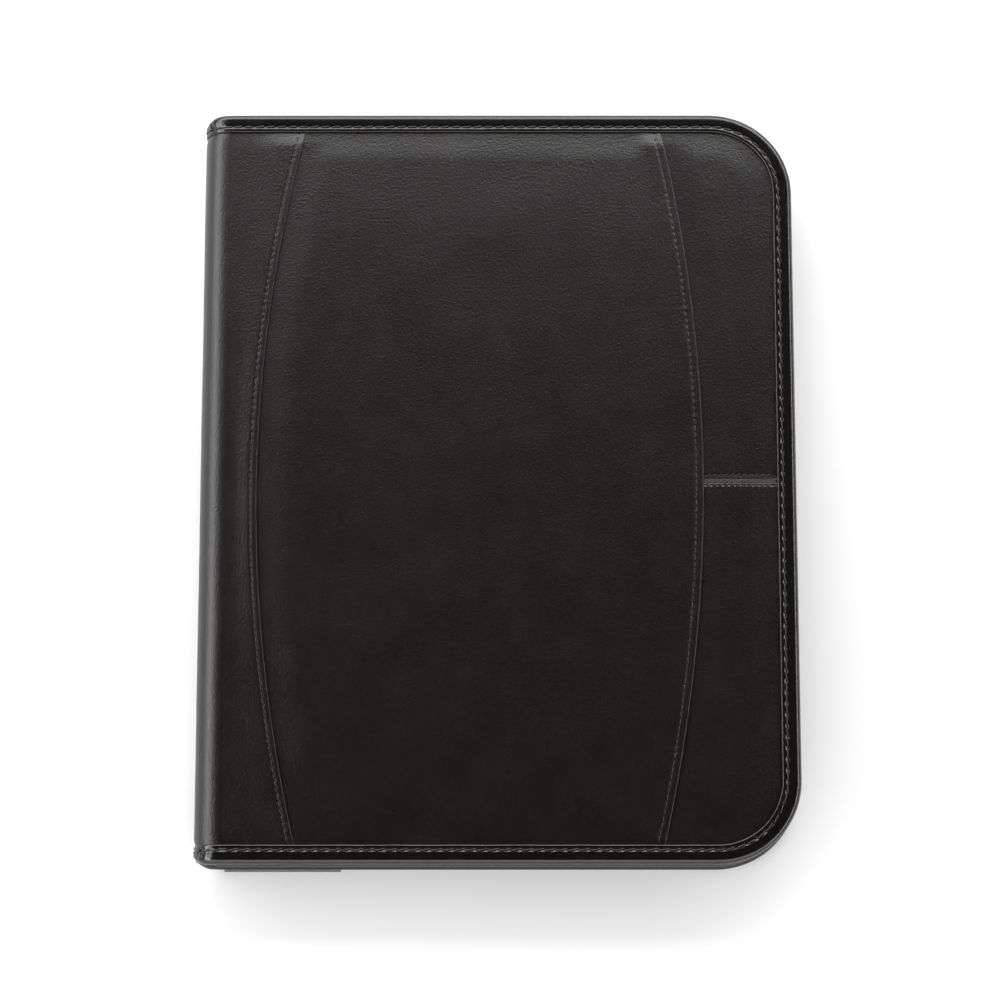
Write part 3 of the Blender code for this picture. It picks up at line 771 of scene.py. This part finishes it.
def shell_points(depth, end_inset, steps=48, rows=140):
    """Points of a spine layer at this depth from its outer face, as rows along Y of an arc."""
    reach = HALF_HEIGHT - end_inset
    grid = []
    for y in np.linspace(CENTRE_Y - reach, CENTRE_Y + reach, rows):
        row = []
        for step in range(steps + 1):
            angle = math.pi * step / steps
            sag = 0.10 * MM * math.sin(angle) * float(ripple(y, angle * 9 * MM, 34 * MM))
            clear = float(smooth(HALF_HEIGHT - abs(y - CENTRE_Y), 6.5 * MM, 11 * MM))
            belly = SPINE_BELLY * math.sin(angle) * clear
            radius = SPINE_RADIUS - depth + sag + belly
            row.append((FOLD_X - radius * math.sin(angle), y, SPINE_RADIUS + radius * math.cos(angle)))
        grid.append(row)
    return np.array(grid)


def make_spine_layer(name, depth, thickness, material, slot, *nodes):
    inset = 2.0 * MM
    obj = slab_object(name, shell_points(depth, inset), shell_points(depth + thickness, inset), material)
    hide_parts(*nodes)
    return flatten_with_spine(obj)


def make_cover_sheet(name, node, depth, thickness, cover, material, loft=0.0):
    """A flat layer of a cover that runs on into the fold, with its shown face at this depth."""
    outer = depth < BINDING_HEIGHT / 2
    inset = 2 * MM
    reach = HALF_HEIGHT - inset
    straight = np.linspace(-STRAIGHT, STRAIGHT, 110)
    bend = STRAIGHT + (reach - STRAIGHT) * np.sin(np.linspace(0, math.pi / 2, 16)[1:])
    offsets = np.concatenate([-bend[::-1], straight, bend])
    grid = []
    for offset in offsets:
        y = CENTRE_Y + offset
        end = float(fore_edge(y, inset))
        near = np.linspace(FOLD_X, FOLD_X + FOLD_FLEX + 1 * MM, 13)
        xs = np.concatenate([near, np.linspace(near[-1], end, 90)[1:]])
        wave = loft * ripple(xs, y, 60 * MM) * smooth(edge_distance(xs, y), 8 * MM, 20 * MM)
        wave = wave * smooth(xs, FOLD_X + 4 * MM, FOLD_X + 20 * MM)
        sign = -1.0 if outer else 1.0
        grid.append([(x, y, cover_z(depth + sign * w, cover)) for x, w in zip(xs, wave)])
    grid = np.array(grid)
    upward = outer == (cover == "front_cover")
    inner = grid + (0, 0, -thickness if upward else thickness)
    obj = slab_object(name, grid, inner, material, flip=not upward)
    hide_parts(node)
    return bend_at_fold(obj, cover)


def dress_cad(node, material, bevel=0.0):
    """A CAD node shown as it is, with its own material and softened edges."""
    obj = frame["nodes"][node]
    obj.data.materials.clear()
    obj.data.materials.append(material)
    if bevel:
        soft = obj.modifiers.new("soft_edges", "BEVEL")
        soft.width = bevel
        soft.segments = 3
        soft.limit_method = "ANGLE"
        soft.angle_limit = math.radians(35)
        soft.harden_normals = False


def straight_route(first, second, up):
    first, second = np.array(first), np.array(second)
    way = second - first
    return [(first + way * t, way, up) for t in np.linspace(0, 1, 30)]


def inner_stitches(name, first, second, up, body):
    """A straight row of small stitches inside the case."""
    route = straight_route(first, second, (0.0, 0.0, up))
    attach(stitch_row(name, route, SEAM_PITCH, 2.2 * MM, 0.4 * MM, height=0.12 * MM), body)


def pocket_stitches(name, node, body, face_z, up, inset, mouth):
    """Stitches down both sides of a pocket and along its foot, and across its mouth if it has no hem."""
    low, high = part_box(node)
    corner = 5 * MM
    left, right = low.x + inset, high.x - inset
    foot = low.y + inset
    top = high.y - 1.0 * MM
    routes = {
        "left": ((left, top, face_z), (left, foot + corner, face_z)),
        "foot": ((left + corner, foot, face_z), (right - corner, foot, face_z)),
        "right": ((right, foot + corner, face_z), (right, top, face_z)),
    }
    if mouth:
        y = high.y - 2 * MM
        routes["mouth"] = ((left + MM, y, face_z), (right - MM, y, face_z))
    for label, (first, second) in routes.items():
        inner_stitches(f"{name}_{label}_stitches", first, second, up, body)


CARD_POCKETS = ("card_pocket_1", "card_pocket_2", "card_pocket_3")


def make_inside():
    for cover in ("front", "back"):
        make_cover_sheet(
            f"{cover}_lining_skin",
            f"{cover}_lining",
            4.5 * MM,
            0.5 * MM,
            f"{cover}_cover",
            LINING_CLOTH,
            0.05 * MM,
        )
    for node in ("document_pocket_panel", "pad_pocket_panel"):
        dress_cad(node, LINING_CLOTH, 0.25 * MM)
    for node in ("document_pocket_hem", "pad_pocket_hem"):
        dress_cad(node, POCKET_LEATHER, 0.25 * MM)
    for node in CARD_POCKETS:
        dress_cad(node, POCKET_LEATHER, 0.18 * MM)
    for node in ("back_board", "front_board", "pad_backing_board"):
        dress_cad(node, GREY_BOARD, 0.1 * MM)
    for node in ("front_center_foam", "front_side_foam"):
        dress_cad(node, FOAM)
    for node in CARD_POCKETS:
        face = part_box(node)[0].z - 0.02 * MM
        pocket_stitches(node, node, "front_cover", face, -1.0, 2.2 * MM, mouth=True)
    for name, body, up in (("document_pocket", "front_cover", -1.0), ("pad_pocket", "back_cover", 1.0)):
        low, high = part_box(f"{name}_panel")
        face = high.z if up > 0 else low.z
        pocket_stitches(name, f"{name}_panel", body, face, up, 2.0 * MM, mouth=False)
    for node, body, up in (("document_pocket_hem", "front_cover", -1.0), ("pad_pocket_hem", "back_cover", 1.0)):
        low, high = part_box(node)
        z = high.z if up > 0 else low.z
        y = low.y + 1.4 * MM
        inner_stitches(f"{node}_stitches", (low.x + 2 * MM, y, z), (high.x - 2 * MM, y, z), up, body)


PAD_SHEETS = 46
SHEET_SHARE = 0.86
MARGIN_LINE_AT = 32 * MM
BOX_FACES = ((3, 2, 1, 0), (4, 5, 6, 7), (0, 1, 5, 4), (1, 2, 6, 5), (2, 3, 7, 6), (3, 0, 4, 7))


def make_pad():
    """The pad's paper as thin leaves, slipped a little out of line, with a gap between each two."""
    low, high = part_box("pad_paper_block")
    points, faces = [], []
    pitch = (high.z - low.z) / PAD_SHEETS
    for index in range(PAD_SHEETS):
        slip = 0.16 * MM * math.sin(index * 2.4) + 0.1 * MM * math.sin(index * 5.1 + 1)
        z0 = low.z + index * pitch
        z1 = z0 + pitch * SHEET_SHARE
        base = len(points)
        corners = ((low.x, low.y), (high.x, low.y), (high.x, high.y), (low.x, high.y))
        for z in (z0, z1):
            points += [(x + slip * 0.8, y + (slip if y < 0 else -abs(slip)), z) for x, y in corners]
        faces += [tuple(base + i for i in quad) for quad in BOX_FACES]
    paper = ruled_paper("ruled_paper", high.y, low.x + MARGIN_LINE_AT)
    block = mesh_object("pad_sheets", points, faces, paper)
    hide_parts("pad_paper_block")
    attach(block, "writing_pad")
    dress_cad("pad_top_tape", PAD_TAPE, 0.15 * MM)


LOOP_STEPS = 60
LOOP_RIBS = 20
LOOP_WALL = 1.0 * MM


def make_pen_loop():
    """A band of ribbed elastic, open along Y for a pen."""
    low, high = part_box("pen_loop")
    x, z = (low.x + high.x) / 2, (low.z + high.z) / 2
    outer = (high.x - low.x) / 2
    ribs = [
        (low.y + (high.y - low.y) * rib / LOOP_RIBS, outer - (0.12 * MM if rib % 2 else 0.0))
        for rib in range(1, LOOP_RIBS)
    ]
    profile = [
        (low.y, outer - 0.3 * MM),
        (low.y + 0.4 * MM, outer),
        *ribs,
        (high.y - 0.4 * MM, outer),
        (high.y, outer - 0.3 * MM),
        (high.y - 0.2 * MM, outer - LOOP_WALL),
        (low.y + 0.2 * MM, outer - LOOP_WALL),
    ]
    turns = [TAU * step / LOOP_STEPS for step in range(LOOP_STEPS)]
    rings = np.array([[(x + r * math.cos(a), y, z + r * math.sin(a)) for y, r in profile] for a in turns])
    rows, columns = rings.shape[:2]
    faces = []
    for row in range(rows):
        below = (row + 1) % rows
        for column in range(columns):
            after = (column + 1) % columns
            here, there = row * columns, below * columns
            faces.append((here + column, there + column, there + after, here + after))
    band = mesh_object("pen_loop_band", rings.reshape(-1, 3), faces, ELASTIC)
    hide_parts("pen_loop")
    flatten_with_spine(band)


def make_back_and_spine():
    make_cover_sheet(
        "back_leather_skin",
        "back_outer_leather",
        LEATHER_DEPTH,
        LEATHER_THICK,
        "back_cover",
        PANEL_LEATHER,
        0.06 * MM,
    )
    make_spine_layer(
        "spine_leather_skin", LEATHER_DEPTH, 1.0 * MM, PANEL_LEATHER, "black_leather", "spine_outer_leather"
    )
    make_spine_layer("spine_board_core", 2.6 * MM, 1.0 * MM, GREY_BOARD, "grey_board", "spine_stiffener")
    make_spine_layer("spine_lining_skin", 3.9 * MM, 0.6 * MM, LINING_CLOTH, "lining_fabric", "spine_lining")
    dress_cad("back_binding_overlap", BINDING_LEATHER, 0.2 * MM)


# ---------------------------------------------------------------- floor, light and camera

CAMERA_TILT = math.radians(12.43)
CAMERA_AIM = (1.2 * MM, -8.0 * MM, THICKNESS)
CAMERA_DISTANCE = 1.4876
CAMERA_LENS = 129.6

FLOOR_SIZE = 40
FLOOR_Z = -0.4 * MM
FLOOR_TONE = 0.78
FAR_GLOW = 0.8
LIT_FLOOR = (0.55, 1.7)

WORLD_STRENGTH = 0.015
SOFTBOXES = {
    "back_softbox": ((0.0, 0.76, 0.48), (1.6, 0.52), 6.4),
    "left_softbox": ((-0.88, 0.0, 0.48), (1.5, 0.34), 8.5),
    "right_softbox": ((0.85, 0.0, 0.45), (1.5, 0.16), 10.0),
    "front_softbox": ((0.0, -1.0, 0.45), (2.6, 0.7), 2.8),
}


def make_floor():
    """A pale floor, with light of its own far away, where the softboxes don't reach."""
    bpy.ops.mesh.primitive_plane_add(size=FLOOR_SIZE, location=(0, 0, FLOOR_Z))
    floor = bpy.context.object
    floor.name = "floor"
    material, nodes, links, shader = new_material("floor_white")
    shader.inputs["Base Color"].default_value = (FLOOR_TONE, FLOOR_TONE, FLOOR_TONE, 1)
    distance = nodes.new("ShaderNodeVectorMath")
    distance.operation = "LENGTH"
    links.new(nodes.new("ShaderNodeTexCoord").outputs["Object"], distance.inputs[0])
    glow = nodes.new("ShaderNodeMapRange")
    links.new(distance.outputs["Value"], glow.inputs["Value"])
    glow.inputs["From Min"].default_value, glow.inputs["From Max"].default_value = LIT_FLOOR
    glow.inputs["To Max"].default_value = FAR_GLOW
    shader.inputs["Emission Color"].default_value = (1, 1, 1, 1)
    links.new(glow.outputs["Result"], shader.inputs["Emission Strength"])
    shader.inputs["Roughness"].default_value = 0.9
    shader.inputs["Specular IOR Level"].default_value = 0.1
    floor.data.materials.append(material)


def softbox(name, place, size, radiance):
    """A rectangular softbox that faces the case, as bright as this all over."""
    data = bpy.data.lights.new(name, "AREA")
    data.shape = "RECTANGLE"
    data.size, data.size_y = size
    data.energy = radiance * math.pi * size[0] * size[1]
    light = bpy.data.objects.new(name, data)
    light.location = place
    light.rotation_euler = Vector(place).to_track_quat("Z", "Y").to_euler()
    light.visible_camera = False
    bpy.context.scene.collection.objects.link(light)


def make_light():
    world = bpy.data.worlds.new("studio")
    world.use_nodes = True
    world.node_tree.nodes["Background"].inputs["Color"].default_value = (1, 1, 1, 1)
    world.node_tree.nodes["Background"].inputs["Strength"].default_value = WORLD_STRENGTH
    bpy.context.scene.world = world
    for name, (place, size, radiance) in SOFTBOXES.items():
        softbox(name, place, size, radiance)
    bpy.context.scene.view_settings.view_transform = "Standard"


def make_camera():
    data = bpy.data.cameras.new("camera")
    data.lens = CAMERA_LENS
    data.clip_end = 20
    camera = bpy.data.objects.new("camera", data)
    away = Vector((0, -math.sin(CAMERA_TILT), math.cos(CAMERA_TILT)))
    camera.location = Vector(CAMERA_AIM) + away * CAMERA_DISTANCE
    camera.rotation_euler = (CAMERA_TILT, 0, 0)
    bpy.context.scene.collection.objects.link(camera)
    bpy.context.scene.camera = camera


# ---------------------------------------------------------------- build

for cover_name in ("front_cover", "back_cover"):
    side_name = cover_name.split("_")[0]
    make_cover_binding(f"{side_name}_binding_skin", cover_name)
    make_cover_stitches(f"{side_name}_binding_outer_stitches", cover_name, inner=False)
    make_cover_stitches(f"{side_name}_binding_inner_stitches", cover_name, inner=True)
make_spine_binding("spine_binding_top_skin", 1)
make_spine_binding("spine_binding_bottom_skin", -1)
make_spine_stitches("spine_top_stitches", 1)
make_spine_stitches("spine_bottom_stitches", -1)
make_front_leather()
make_back_and_spine()
make_inside()
make_pad()
make_pen_loop()
make_floor()
make_light()
make_camera()
